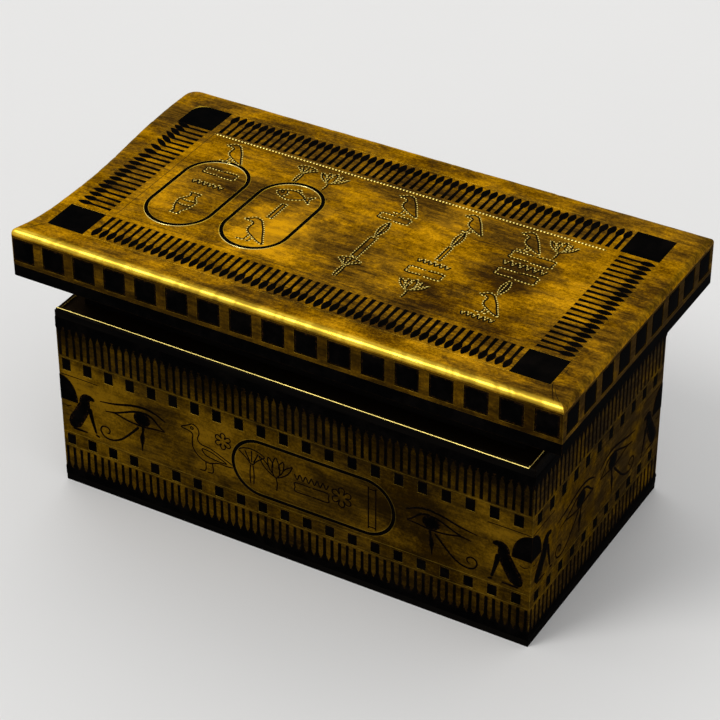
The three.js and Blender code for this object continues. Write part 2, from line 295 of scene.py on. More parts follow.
def giltMaterial(name, look):
    material, shader, place = newMaterial(name, 0.03)
    shader["Specular Tint"].default_value = (1.0, 0.72, 0.30, 1)   # keeps the leaf gold at a low angle
    much = giltShares
    cloud = useGroup(patina, place, CloudScale=look["cloudScale"], Cover=look["cover"], Pits=look["pits"])
    brush = useGroup(brushing, place, Stretch=look["stretch"])
    edge = useGroup(edgeWear, place, Reach=0.003, Break=0.55)
    wearAndGlint, paintedShade = readMark(place, "wearAndGlint"), readMark(place, "paintedShade")
    wornAndLit = larger(wearAndGlint, times(edge["Edge"], much["edges"]), clamp=True)
    glint = ramp(wearAndGlint, 1.0, 2.0)
    spots = 0.0
    for centre, reach, amount in look["spots"]:
        mask = useGroup(spot, place, Centre=centre, Reach=reach, Ragged=0.5)["Spot"]
        spots = plus(times(mask, amount), spots)
    tone = plus(times(cloud["Tone"], much["patches"]), times(brush["Line"], much["lines"]))
    tone = plus(plus(tone, times(cloud["Fleck"], much["flecks"])), spots, clamp=True)
    gold = mixed(maths("POWER", tone, much["contrast"]), look["deep"], look["light"])
    # a painted glint where the wear mark is above 1; up to 1 bright rubbed gold, with the rails' painted
    # highlight
    gold = mixed(glint, mixed(wornAndLit, gold, look["bright"]), look["glint"])
    stain = plus(cloud["Stain"], times(spots, much["spotStain"]), clamp=True)
    stain = times(stain, minus(1.0, times(wornAndLit, much["stainWornOff"])))
    stain = times(stain, minus(1.06, times(brush["Line"], much["streaks"])))
    gold = mixed(times(stain, much["stain"]), gold, look["stain"])
    height = addNode(place.id_data, "ShaderNodeSeparateXYZ", {0: place}).outputs["Z"]
    uneven = times(ramp(cloud["Tone"], 1.4, 0.0, 0.6, 1.2), minus(1.0, wornAndLit))
    # the lid's shade painted over the chest's upper part, and a darkening towards its foot
    for plainAt, darkestAt, amount in look["darkenByHeight"]:
        darkening = times(ramp(height, plainAt, darkestAt, 0.0, amount), uneven, clamp=True)
        gold = mixed(darkening, gold, giltShade)
    # painted shade in grooves, cracks and on the ledge under the lid
    fill(shader["Base Color"], mixed(paintedShade, gold, giltShade))
    stainAndShade = larger(stain, paintedShade, clamp=True)
    fill(shader["Metallic"], ramp(stainAndShade, 0.0, 1.0, 1.0, much["dullMetal"]))
    rough = plus(times(stainAndShade, much["roughDirt"]), times(brush["Line"], much["roughLines"]))
    rough = plus(plus(rough, look["rough"]), times(wornAndLit, much["roughWorn"]))
    fill(shader["Roughness"], plus(rough, times(glint, much["roughGlint"])))
    wavy = bumped(cloud["Height"], 0.5, 0.006, edge["Normal"])
    fill(shader["Normal"], bumped(brush["Height"], 0.35, 0.0008, wavy))
    return material


inlayFinish = {
    "black": (0.0007, 0.0007, 0.0007, 1), "faded": (0.0028, 0.0022, 0.0019, 1),
    "bare": (0.060, 0.026, 0.006, 1), "dust": (0.045, 0.034, 0.021, 1), "dustAmount": 0.03, "rough": 0.42,
}


def inlayMaterial(name, look):
    material, shader, place = newMaterial(name, 0.001)
    edge = useGroup(edgeWear, place, Reach=0.0025, Break=0.8)
    lying = useGroup(dust, place, Amount=look["dustAmount"])["Dust"]
    fade = ramp(noise(place, 8, 6, 0.7, 0.2), 0.42, 0.74)
    chips = ramp(noise(place, 120, 4, 0.7), 0.52, 0.66)
    bare = times(larger(times(readMark(place, "wearAndGlint"), chips), times(edge["Edge"], 0.6)), 0.8)
    colour = mixed(bare, mixed(fade, look["black"], look["faded"]), look["bare"])
    fill(shader["Base Color"], mixed(lying, colour, look["dust"]))
    fill(shader["Roughness"], plus(plus(times(fade, 0.22), times(lying, 0.8)), look["rough"]))
    height = plus(noise(place, 26, 4), times(noise(place, 260, 2), 0.2))
    fill(shader["Normal"], bumped(height, 0.35, 0.0012, edge["Normal"]))
    return material


woodDust = (0.20, 0.165, 0.12, 1)
woodFinish = {
    "black": {
        "dark": (0.0010, 0.0009, 0.0009, 1), "pale": (0.0036, 0.0030, 0.0024, 1),
        "bare": (0.060, 0.030, 0.012, 1), "stretch": (1.0, 11, 11), "rings": 3.0, "rough": 0.62,
        "edge": 0.07, "dustAmount": 0.06,
    },
    "cedar": {
        "dark": (0.135, 0.055, 0.020, 1), "pale": (0.36, 0.185, 0.080, 1),
        "bare": (0.42, 0.24, 0.12, 1), "stretch": (0.9, 10, 10), "rings": 6.5, "rough": 0.70,
        "edge": 0.4, "dustAmount": 0.30,
    },
}


def woodMaterial(name, look):
    material, shader, place = newMaterial(name, 0.004)
    grain = useGroup(woodGrain, place, Stretch=look["stretch"], Rings=look["rings"])
    edge = useGroup(edgeWear, place, Reach=0.005, Break=0.85)
    lying = useGroup(dust, place, Amount=look["dustAmount"])["Dust"]
    colour = mixed(grain["Grain"], look["dark"], look["pale"])
    colour = mixed(times(grain["Pore"], 0.55), colour, look["dark"])
    colour = mixed(times(edge["Edge"], look["edge"]), colour, look["bare"])
    fill(shader["Base Color"], mixed(lying, colour, woodDust))
    fill(shader["Roughness"], plus(times(grain["Grain"], 0.16), look["rough"]))
    fill(shader["Normal"], bumped(grain["Height"], 0.4, 0.0012, edge["Normal"]))
    return material


def floorMaterial(name, colour):
    material, shader, place = newMaterial(name, 0.1)
    shader["Roughness"].default_value = 0.9
    tone = ramp(noise(place, 0.5, 3), 0.2, 0.8)
    fill(shader["Base Color"], mixed(tone, colour, tuple(0.985 * c for c in colour[:3]) + (1,)))
    return material


gilt = giltMaterial("giltLid", giltFinish["lid"])
bandGilt = giltMaterial("giltBand", giltFinish["band"])
agedGilt = giltMaterial("giltChest", giltFinish["chest"])
blackInlay = inlayMaterial("blackInlay", inlayFinish)
finishes = {
    "gilt": gilt, "aged_gilt": agedGilt, "black_inlay": blackInlay,
    "black_wood": woodMaterial("blackWood", woodFinish["black"]),
    "cedar": woodMaterial("cedarWood", woodFinish["cedar"]),
}
for part in frame["record"]["subparts"]:
    mesh = nodes[part["node"]].data
    mesh.materials.clear()
    mesh.materials.append(bandGilt if "gilt_band" in part["node"] else finishes[part["material_slot"]])
print("finishes on the frame:", len(finishes))

# Faces that carry ornament: a point on a face is its origin + across * a + up * b + outward * h,
# with a, b and h in millimetres

xAxis, yAxis, zAxis = np.eye(3)
isLong = {"front": True, "right": False, "back": True, "left": False}
lidHalf = {True: 1250, False: 680}   # half of the lid's length and width
chestHalf = {True: 1110, False: 600}


def sideFaces(node):
    # The four upright faces of a ring of nodes
    front, right, back, left = (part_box(f"{node}_{side}") for side in isLong)
    return {
        "front": (np.array([0, front[0].y, 0]), xAxis, zAxis, -yAxis),
        "right": (np.array([right[1].x, 0, 0]), yAxis, zAxis, xAxis),
        "back": (np.array([0, back[1].y, 0]), -xAxis, zAxis, yAxis),
        "left": (np.array([left[0].x, 0, 0]), -yAxis, zAxis, -xAxis),
    }


lidTop = (np.array([0, 0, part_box("gilt_top_sheet")[1].z]), xAxis, yAxis, zAxis)
lidSides, chestSides = sideFaces("gilt_band"), sideFaces("gilt_frieze")

leftEnd = {   # the lid's left end, in millimetres: its inward bow and its two worn corners
    "bow": 50, "deepest": -265, "frontReach": 415, "backReach": 785, "fullTo": 24, "fadesAt": 112,
    "corners": ((-1, 22), (1, 60)),   # which side, radius
}


def between(at, low, high):
    # 0 up to low, 1 from high on
    return np.clip((at - low) / (high - low), 0, 1)


def bowAt(y):
    # How far in the lid's left end runs at a given y: a cube law towards the front corner, a cosine behind
    before = np.clip((leftEnd["deepest"] - y) / leftEnd["frontReach"], 0, 1)
    behind = np.clip((y - leftEnd["deepest"]) / leftEnd["backReach"], 0, 1)
    cosine = (1 + np.cos(np.pi * behind)) / 2
    return leftEnd["bow"] * np.where(y < leftEnd["deepest"], 1 - before ** 3, cosine)


def settle(places):
    # Bends what lies near the lid's left end: a square ring round a worn corner's centre becomes a circle
    # of the same reach, then x grows by the bow, in full at the outer face and not at all further in
    x, y, z = np.moveaxis(places / mm, -1, 0)
    for sign, radius in leftEnd["corners"]:
        fromEnd, fromSide = radius - lidHalf[True] - x, sign * y - (lidHalf[False] - radius)
        turned = np.maximum(fromEnd, fromSide) / np.maximum(np.hypot(fromEnd, fromSide), 1e-9)
        turned = np.where((fromEnd > 0) & (fromSide > 0), turned, 1)
        x, y = radius - lidHalf[True] - fromEnd * turned, sign * (lidHalf[False] - radius + fromSide * turned)
    share = 1 - between(x + lidHalf[True], leftEnd["fullTo"], leftEnd["fadesAt"])
    return np.stack([x + share * bowAt(y), y, z], axis=-1) * mm


def gridQuads(rows, columns):
    # Corner numbers of every quad of a grid, turning from the row direction to the column direction
    first = (np.arange(rows - 1)[:, None] * columns + np.arange(columns - 1)).ravel()
    return np.stack([first, first + columns, first + columns + 1, first + 1], axis=1)


def layOut(face, points):
    origin, across, up, outward = face
    return origin + mm * (points[..., :1] * across + points[..., 1:2] * up + points[..., 2:] * outward)


def finishPiece(mesh, name, body, materials, marks, smoothAngle=50):
    # marks: how worn each point is, with painted highlights in it, above 1 a painted glint; and how much
    # painted shade it gets, down dark grooves and on the ledge under the lid
    for key, values in zip(("wearAndGlint", "paintedShade"), marks):
        mark = mesh.attributes.new(key, "FLOAT", "POINT")
        mark.data.foreach_set("value", values.reshape(-1).astype(np.float32))
    for material in materials:
        mesh.materials.append(material)
    joined = bmesh.new()
    joined.from_mesh(mesh)
    bmesh.ops.remove_doubles(joined, verts=joined.verts, dist=1e-6)  # closes poles and loops
    joined.to_mesh(mesh)
    joined.free()
    mesh.polygons.foreach_set("use_smooth", np.ones(len(mesh.polygons), bool))
    mesh.set_sharp_from_angle(angle=math.radians(smoothAngle))
    mesh.update()
    piece = bpy.data.objects.new(name, mesh)
    bpy.context.scene.collection.objects.link(piece)
    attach(piece, body)
    return piece


def makePiece(name, body, materials, patches):
    # patches: dicts of face, points (..., rows, columns, 3) and, where wanted, the marks of finishPiece (wear
    # with painted glints, and painted shade), pick (the material of each quad of the grid) and settled;
    # every patch becomes its own quads in one mesh
    places, quads, rubs, grooves, picks, start = [], [], [], [], [], 0
    for patch in patches:
        points = np.asarray(patch["points"], float)
        rows, columns = points.shape[-3:-1]
        points = points.reshape(-1, rows, columns, 3)
        count = len(points)
        own = gridQuads(rows, columns)[None] + (np.arange(count) * rows * columns)[:, None, None]
        quads.append(own.reshape(-1, 4) + start)
        start += count * rows * columns
        where = layOut(patch["face"], points).reshape(-1, 3)
        places.append(settle(where) if patch.get("settled") else where)
        for store, key in ((rubs, "wearAndGlint"), (grooves, "paintedShade")):
            store.append(np.broadcast_to(patch.get(key, 0.0), (count, rows, columns)).reshape(-1))
        picks.append(np.broadcast_to(patch.get("pick", 0), (count, rows - 1, columns - 1)).reshape(-1))
    mesh = bpy.data.meshes.new(name)
    mesh.from_pydata(np.concatenate(places).tolist(), [], np.concatenate(quads).tolist())
    mesh.polygons.foreach_set("material_index", np.concatenate(picks).astype(np.int32))
    return finishPiece(mesh, name, body, materials, (np.concatenate(rubs), np.concatenate(grooves)))


def blackPiece(name, body, patches):
    makePiece(name, body, [blackInlay], patches)


def giltPiece(name, patches):
    makePiece(name, "lid", [gilt], patches)


# Strokes: a section carried along a path on a face


def strokeSection(side, lift, wearAndGlint, paintedShade=0.0):
    # side: share of the half width to the left of the path; lift: millimetres above the face
    return {"side": np.array(side), "lift": np.array(lift), "wearAndGlint": np.array(wearAndGlint), "paintedShade": np.array(paintedShade)}


inlaySection = strokeSection(
    [-1, -0.86, -0.4, 0.4, 0.86, 1], [-0.35, 0.62, 0.95, 0.95, 0.62, -0.35], [1, 0.8, 0, 0, 0.8, 1])
unwornSection = dict(inlaySection, wearAndGlint=np.zeros(6))
chasedSection = strokeSection(   # a furrow darkened with painted shade, with a raised, rubbed lip along its left side that carries a painted glint
    [-1, -0.92, -0.4, 0.10, 0.22, 0.5, 0.84, 1], [-0.2, 0.25, 0.1, 0.25, 1.1, 1.4, 1.1, -0.3],
    [0, 0, 0, 0, 1.3, 2, 1.7, 0.6], [0.7, 1, 1, 1, 0, 0, 0, 0])
# beads rubbed bright, their tops a painted glint
beadSection = strokeSection(
    [-1, -0.8, -0.4, 0.4, 0.8, 1], [-0.3, 0.6, 1.2, 1.2, 0.6, -0.3], [0.8, 1.6, 2, 2, 1.6, 0.8])
furrowSection = strokeSection(
    [-1, -0.5, 0.5, 1], [-0.2, 0.25, 0.25, -0.2], [0, 0, 0, 0], [0.45, 0.75, 0.75, 0.45])
filletSection = strokeSection(
    [-1, -0.6, 0, 0.6, 1], [-0.3, 0.75, 1.0, 0.75, -0.3], [0, 0.12, 0.2, 0.12, 0])
strokes = {
    # half: half width, where the knots don't give it; height: how many times the section's; step: how far
    # apart the samples lie; beads: their spacing; capped: with half round ends
    "border": {"section": unwornSection, "height": 1.3, "step": 24.0, "capped": False},
    "beaded": {"section": beadSection, "height": 1.8, "step": 2.6, "half": 4.5, "beads": 15.5},
    "furrow": {"section": furrowSection, "height": 0.6, "step": 12.0, "half": 2.2},
    "crack": {"section": furrowSection, "height": 1.0, "step": 3.0},
    "chased": {"section": chasedSection, "height": 1.8, "step": 2.0, "half": 6.2, "beads": 15.0},
    "outline": {"section": inlaySection, "height": 0.5, "step": 3.5, "half": 3.4},
    "fillet": {"section": filletSection, "height": 0.7, "step": 24.0, "half": 2.2},
    "short": {"section": inlaySection, "height": 0.5, "step": 8.0, "half": 2.4},
    "painted": {"section": inlaySection, "height": 0.9, "step": 5.0},
}


def runAlong(flat):
    # Distance from the start of a path to each of its points
    return np.concatenate([[0], np.cumsum(np.hypot(*np.diff(flat[:, :2], axis=0).T))])


def resampled(path, count):
    # The path with its points spread evenly along its length
    length = runAlong(path)
    at = np.linspace(0, length[-1], count(length[-1]))
    return np.stack([np.interp(at, length, column) for column in path.T], axis=1)


def smoothPath(knots, step, closed=False):
    # Catmull-Rom curve through the knots; their further numbers, such as the half width, are blended too
    if closed:
        ring = np.vstack([knots[-1:], knots, knots[:2]])
    else:
        ring = np.vstack([2 * knots[0] - knots[1], knots, 2 * knots[-1] - knots[-2]])
    before, here, after, later = (ring[i:len(ring) - 3 + i, None] for i in range(4))
    t = np.linspace(0, 1, 12, endpoint=False)[:, None]
    curve = 0.5 * (2 * here + (after - before) * t + (2 * before - 5 * here + 4 * after - later) * t ** 2
                   + (3 * here - before - 3 * after + later) * t ** 3)
    curve = np.vstack([curve.reshape(-1, knots.shape[1]), ring[-2]])
    return resampled(curve, lambda length: max(3, int(round(length / step)) + 1))


def sweep(face, path, section, height=1.0, closed=False, beads=0.0, capped=True):
    # Point = path + left of the path * half width * side, lifted by the section's height; where capped, the
    # width closes as a half round at both ends, and beads swell the height at that spacing along the path
    flat, half = path[:, :2], path[:, 2]
    if closed:
        turned = np.roll(flat[:-1], -1, axis=0) - np.roll(flat[:-1], 1, axis=0)
        along = np.vstack([turned, turned[:1]])
    else:
        along = np.gradient(flat, axis=0)
    along = along / np.hypot(*along.T)[:, None]
    left = np.stack([-along[:, 1], along[:, 0]], axis=1)
    length = runAlong(flat)
    lift = np.ones(len(path))
    if capped and not closed:
        near = np.minimum(length, length[-1] - length)
        lift = np.sqrt(np.clip(1 - (1 - np.clip(near / np.maximum(half, 0.01), 0, 1)) ** 2, 0, 1))
        half = half * lift
    bead = (0.5 + 0.5 * np.cos(2 * np.pi * length / beads)) ** 1.4 if beads else np.ones(len(path))
    lift = lift * (0.3 + 0.7 * bead)
    across = flat[:, None, :] + left[:, None, :] * (half[:, None] * section["side"])[..., None]
    rise = section["lift"] * height
    rise = np.where(rise > 0, rise * lift[:, None], rise)
    dark = np.broadcast_to(section["paintedShade"], rise.shape)
    return {"face": face, "points": np.concatenate([across, rise[..., None]], axis=2),
            "wearAndGlint": section["wearAndGlint"] * (0.15 + 0.85 * bead)[:, None],
            "paintedShade": np.maximum(dark, 0.85 * (1 - bead)[:, None])}   # painted shade between the beads


def line(face, knots, kind, closed=False):
    # A stroke of that kind through the knots, whose third number, where there is one, is the half width
    look = strokes[kind]
    knots = np.array([(*knot, look["half"]) if len(knot) == 2 else knot for knot in knots], float)
    path = smoothPath(knots, look["step"], closed)
    return sweep(face, path, look["section"], look["height"], closed, look.get("beads", 0.0),
                 look.get("capped", True))


def placed(knots, at, size=1.0, mirror=False):
    # Moves a drawing to a place on a face, resized and, where wanted, mirrored left to right
    knots = np.array(knots, float)
    knots[:, 0] = knots[:, 0] * size * (-1 if mirror else 1) + at[0]
    knots[:, 1] = knots[:, 1] * size + at[1]
    knots[:, 2:] *= size
    return knots[::-1] if mirror else knots


def disc(face, at, radii):
    # Point = centre + ring * radius round the circle, with the rim turned down below the face
    ring, turn = np.meshgrid([0, 0.5, 0.85, 0.97, 1], np.linspace(0, 2 * np.pi, 29), indexing="ij")
    rise = np.interp(ring, [0, 0.85, 0.97, 1], [1.0, 0.95, 0.5, -0.35]) * 0.9
    a, b = at[0] + radii[0] * ring * np.cos(turn), at[1] + radii[1] * ring * np.sin(turn)
    return {"face": face, "points": np.stack([a, b, rise], axis=2), "wearAndGlint": np.clip((ring - 0.8) * 5, 0, 1)}


# Rods of the borders

lidRods = {
    # for each side: how many, the middle of the row and its reach from there, where the sticks begin
    "front": (53, 5, 931.5, -395), "right": (21, 2, 360.4, 974),
    "back": (53, 8, 933, 399), "left": (21, 9, 364, -969),
    # distance from the inner end, half width
    "shape": [(0, 10.4), (5, 10.0), (45, 8.6), (90, 7.2), (97, 8.2), (107, 13.2), (118, 16.8), (129, 17.6),
              (140, 15.4), (151, 10.2), (159, 5), (164, 0.5)],
    "leans": [19, 27, 33, 39, 40, 39, 24, 10],   # how far the left end's last heads lean towards the back
    "neck": 98,
}
chestRods = {
    "longCount": 63, "longReach": 1095.3, "shortCount": 34, "shortReach": 583,
    "upperStart": 652, "lowerStart": 184,
    "upper": [(0, 7.4), (4, 8.0), (60, 7.8), (112, 8.0), (124, 11.5), (136, 16.4), (144, 18), (152, 18)],
    "lower": [(0, 7.4), (4, 8.0), (52, 7.8), (88, 8.2), (99, 12.0), (109, 16.8), (116, 18), (124, 18)],
    "borders": ((818.4, 23.2), (50.2, 21.6)),   # the black strips that the heads run into: middle, half width
    "pastCorner": 1.2,   # so that the strips of two faces meet at the corner
}
rodVary = {"fat": 0.07, "long": 0.012, "slant": 0.010, "turnsAt": 80}   # as shares, apart from the last


def rodRow(face, starts, heading, shape, leans=0.0, neck=1.0):
    # A row of rods: point = start + heading * distance + side * half width, each a little fatter, longer
    # or more slanted than the next; beyond the neck a head leans sideways by its share of leans
    starts = np.asarray(starts, float)[:, None, None, :]
    count = len(starts)
    distance, half = np.array(shape, float).T
    heading = np.array(heading, float)
    left = np.array([-heading[1], heading[0]])
    fat = 1 + rodVary["fat"] * chance.uniform(-1, 1, (count, 1, 1))
    long = 1 + rodVary["long"] * chance.uniform(-1, 1, (count, 1, 1))
    slant = rodVary["slant"] * chance.normal(size=(count, 1, 1))
    along = distance[None, :, None] * long
    across = half[None, :, None] * inlaySection["side"] * fat + slant * (along - rodVary["turnsAt"])
    beyond = between(distance, neck, distance[-1])[None, :, None]
    across = across + np.broadcast_to(leans, count)[:, None, None] * beyond
    flat = starts + heading * np.broadcast_to(along, across.shape)[..., None] + left * across[..., None]
    ends = np.interp(distance, [0, 4, distance[-1] - 8, distance[-1]], [0, 1, 1, 0])[None, :, None]
    lift = inlaySection["lift"]
    rise = np.where(lift > 0, lift * ends - 0.3 * (1 - ends), lift)
    points = np.concatenate([flat, np.broadcast_to(rise, across.shape)[..., None]], axis=3)
    return {"face": face, "points": points, "wearAndGlint": np.broadcast_to(inlaySection["wearAndGlint"] * 0.7, across.shape)}


def spread(look, side):
    # Evenly spread places along a side, from the count and the reach of its long or short sides
    size = "long" if isLong[side] else "short"
    return np.linspace(-look[size + "Reach"], look[size + "Reach"], look[size + "Count"])


def lidFringe():
    for side, heading in {"front": (0, -1), "right": (1, 0), "back": (0, 1), "left": (-1, 0)}.items():
        count, middle, reach, start = lidRods[side]
        leans = np.zeros(count)
        if side == "left":
            leans[::-1][:len(lidRods["leans"])] = -np.array(lidRods["leans"])
        along = middle + np.linspace(-reach, reach, count)
        starts = [(a, start) if isLong[side] else (start, a) for a in along]
        row = rodRow(lidTop, starts, heading, lidRods["shape"], leans, lidRods["neck"])
        blackPiece(f"lid_rods_{side}", "lid", [row])


def chestFringe():
    look = chestRods
    for side, face in chestSides.items():
        places = spread(look, side)
        for row, up in (("upper", 1), ("lower", -1)):
            starts = [(a, look[row + "Start"]) for a in places]
            blackPiece(f"{row}_rods_{side}", "chest", [rodRow(face, starts, (0, up), look[row])])
        end = chestHalf[isLong[side]] + look["pastCorner"]
        blackPiece(f"black_borders_{side}", "chest", [
            line(face, [(-end, b, half), (0, b, half), (end, b, half)], "border")
            for b, half in look["borders"]])


lidFringe()
chestFringe()
print("rods laid on the lid and the chest")

# Black tiles in the windows

tiles = {
    # rows: middle and height of each; sunk: how far the top lies below the face; deep: where the edge ends
    "lid": {"longCount": 17, "longReach": 1184, "shortCount": 9, "shortReach": 598,
            "width": 105.4, "rows": ((1173, 107.4),), "shift": 0, "sunk": 1.0, "deep": 5.2},
    "chest": {"longCount": 21, "longReach": 1060, "shortCount": 11, "shortReach": 530,
              "width": 43.6, "rows": ((610, 59.6), (225, 53.6)), "shift": -11, "sunk": 0.6, "deep": 3.2},
    "smaller": 0.004, "uneven": 0.35,   # how much they differ, as a share and in millimetres
}


def tileRow(face, places, middle, height, look):
    # Pillow = a flat top a little below the face, its last few millimetres turned down to the window's floor
    edge = np.array([-1, -0.93, -0.78, -0.6, -0.35, 0.35, 0.6, 0.78, 0.93, 1])
    u, v = np.meshgrid(edge, edge, indexing="ij")
    rim = np.maximum(abs(u), abs(v))
    crown = 0.5 * (1 - u ** 2) * (1 - v ** 2) - 0.5 * (rim > 0.9)
    rise = np.where(rim > 0.99, -look["deep"], crown - look["sunk"])
    places = places[:, None, None]
    size = 1 - tiles["smaller"] * chance.uniform(0, 1, places.shape)
    rise = rise + tiles["uneven"] * chance.uniform(-1, 0.4, places.shape)
    points = np.stack([places + u * look["width"] / 2 * size, middle + v * height / 2 * size, rise], axis=3)
    return {"face": face, "points": points, "wearAndGlint": np.where(rim > 0.9, 0.7, 0.0)}


def layTiles(body, faces):
    look = tiles[body]
    for side, face in faces.items():
        places = look["shift"] + spread(look, side)
        rows = [tileRow(face, places, middle, height, look) for middle, height in look["rows"]]
        blackPiece(f"{body}_tiles_{side}", body, [dict(row, settled=body == "lid") for row in rows])


layTiles("lid", lidSides)
layTiles("chest", chestSides)
print("tiles set in the windows")

# The lid's rounded rails

railLook = {
    "width": 112, "radius": 24, "steps": 14, "noseBottom": 1237, "behind": 20, "bottom": 1047, "top": 1265,
    "flat": (31, 40, 70),   # depths of the points on the flat top
    "mitreGap": 0.3, "wave": 0.45, "calmEnds": 80,
    "dents": 7, "dentDepth": (0.5, 1.7), "dentReach": (5, 15), "dentsFromEnd": 120,
    # how strongly each side's nose is rubbed and lit: wear with a painted highlight, strongest on the front,
    # faint on the right
    "rubbedAndLit": {"front": 1.0, "right": 0.06, "back": 0.2, "left": 0.1},
    "shoulder": (0.55, 0.34, 0.10),   # how rubbed and lit, as a painted highlight, the end of the nose and the start of the flat are
    "nearEnd": [0, 4, 10, 18, 28, 40, 52, 62], "evenFrom": 70, "evenStep": 12.0,   # where the rings lie
}


def waves(at, size, shortest=60, longest=700):
    # A hand-worked edge: half the sum of seven sine waves of random phase, the shorter ones lower
    length = np.geomspace(longest, shortest, 7)
    phase = chance.uniform(0, 2 * np.pi, 7)
    each = np.sin(2 * np.pi * at[:, None] / length + phase) * (length / longest) ** 0.4
    return size * each.sum(axis=1) / 2


def loftPiece(name, rings, wearAndGlint):
    # A closed section repeated along a piece: quads between neighbouring rings and a flat cap at each end
    rows, columns = rings.shape[:2]
    ring = np.arange(columns)
    row, after = (np.arange(rows - 1) * columns)[:, None], np.roll(ring, -1)
    quads = np.stack([row + ring, row + columns + ring, row + columns + after, row + after], axis=2)
    caps = [ring.tolist(), (ring[::-1] + (rows - 1) * columns).tolist()]
    mesh = bpy.data.meshes.new(name)
    mesh.from_pydata(rings.reshape(-1, 3).tolist(), [], quads.reshape(-1, 4).tolist() + caps)
    return finishPiece(mesh, name, "lid", [gilt], (wearAndGlint, np.zeros_like(wearAndGlint)), smoothAngle=40)


def lidRail(side):
    # Section = outer edge up, a quarter round nose, flat top, inner side; point = share of the length
    # * (half length - depth), so that both ends are mitred
    look = railLook
    radius, top = look["radius"], look["top"]
    turn = np.linspace(0, np.pi / 2, look["steps"] + 1)
    nose = np.stack([radius * (1 - np.cos(turn)), top - radius * (1 - np.sin(turn))], axis=1)
    section = np.vstack([
        [(look["behind"], look["noseBottom"]), (0, look["noseBottom"])], nose,
        [(inward, top) for inward in (*look["flat"], look["width"])],
        [(look["width"], look["bottom"]), (look["behind"], look["bottom"])],
    ])
    depth, level = section.T
    half = lidHalf[isLong[side]]
    near, even = half - np.array(look["nearEnd"]), half - look["evenFrom"]
    at = np.unique(np.concatenate([np.arange(-even, even + 1, look["evenStep"]), near, -near]))
    onNose = np.zeros(len(section))
    onNose[2:len(nose) + 2] = np.sin(2 * turn) ** 0.6
    calm = np.clip((half - abs(at)) / look["calmEnds"], 0, 1)
    out = waves(at, look["wave"]) * calm
    dented = half - look["dentsFromEnd"]
    for place in chance.uniform(-dented, dented, look["dents"]):
        deep, reach = chance.uniform(*look["dentDepth"]), chance.uniform(*look["dentReach"])
        out -= deep * np.exp(-((at - place) / reach) ** 2)
    sag = waves(at, look["wave"] * 0.5, 90) * calm
    lifted = (depth > 1) & (depth < 60) & (level > look["noseBottom"] + 10)
    a = (at / half)[:, None] * (half - depth - look["mitreGap"])
    b = level + sag[:, None] * lifted + out[:, None] * onNose * 0.7
    h = -depth + out[:, None] * onNose
    points = settle(layOut(lidSides[side], np.stack([a, b, h], axis=2)))
    # wear along the nose, with a painted highlight
    shine = onNose ** 0.8
    shine[len(nose):len(nose) + 3] = look["shoulder"]
    wearAndGlint = shine * (0.85 + 0.15 * np.sign(waves(at, 1.0, 30, 300)))[:, None] * look["rubbedAndLit"][side]
    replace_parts(loftPiece(f"rounded_rail_{side}", points, wearAndGlint), f"lid_rail_{side}")


cornerBandLook = {
    "bottom": 1101, "top": 1237, "lowRim": 18, "highRim": 10, "lift": 0.3, "margin": {True: 13, False: 29},
    "ends": {"front": (("front", -1), ("left", 1)), "back": (("back", 1), ("left", -1))},
}


def cornerBand(corner, radius):
    # The gilt band carried round a worn corner: both rims, and the bar between the two nearest windows;
    # a point lies share * reach from the corner along each face
    look = cornerBandLook
    low, high = look["bottom"] + look["lowRim"], look["top"] - look["highRim"]
    patches = []
    for side, end in look["ends"][corner]:
        for reach, bottom, top, wearAndGlint in ((radius + 3, look["bottom"], low, 0.0),
                                        (look["margin"][isLong[side]], low, high, 0.4),
                                        (radius + 3, high, look["top"], 0.0)):
            away = np.linspace(-look["lift"], reach, 12)[::-end]
            along = end * (lidHalf[isLong[side]] - away)
            a, b = np.meshgrid(along, np.linspace(bottom, top, 3), indexing="ij")
            points = np.stack([a, b, np.full(a.shape, look["lift"])], axis=2)
            patches.append({"face": lidSides[side], "points": points, "wearAndGlint": wearAndGlint, "settled": True})
    makePiece(f"worn_corner_band_{corner}", "lid", [bandGilt], patches)


for side in lidSides:
    lidRail(side)
for corner, (sign, radius) in zip(("front", "back"), leftEnd["corners"]):
    cornerBand(corner, radius)

# Gilt sheet on the ledge under the lid, darkened with the lid's painted shadow, with a ridge along it bright
# with a painted glint

ledgeLook = {
    # Depth behind the chest's face and height, over a small bevelled ridge and along the flat up to the neck:
    # high on the ledge's bevel, low on it, and further in on the short sides
    "highRidge": [(4.8, 876.9), (4.9, 881.4), (5.2, 882.2), (6.9, 883.9), (7.6, 884.1), (9.0, 883.4),
                  (11, 882.5), (50, 882.4), (89.6, 882.4)],
    "lowRidge": [(0.2, 872.3), (0.3, 873.2), (0.5, 873.9), (2.2, 875.6), (3.0, 875.8), (6.0, 878.4),
                 (11, 882.5), (50, 882.4), (89.6, 882.4)],
    "shortRidge": [(10.3, 882.2), (24.3, 882.5), (24.6, 882.8), (26.3, 884.5), (27.0, 884.7), (28.4, 884.0),
                   (30.4, 882.6), (50, 882.4), (89.6, 882.4)],
    # on the ridge, wear with a painted glint; the stain on the flat is the lid's shadow painted on, dark
    # everywhere but the ridge
    "wearAndGlint": [0, 0, 1.5, 1.5, 0.6, 0, 0, 0, 0],
    "stain": np.array([0.98, 0.95, 0.1, 0.1, 0.6, 0.96, 0.98, 0.98, 0.98]),
    "sinks": (-900, 1080), "climbs": (1081, 1088), "ends": (1089, 1093),   # places along a long side
    "fine": (1075, 1099), "steps": {True: 120, False: 64}, "wave": 0.18, "wavyTo": 14,
    # up to flatFrom the short side's gilt runs on past its mitre, to meet the long side's ridge
    "flatFrom": 40, "shortMitre": 8,
}


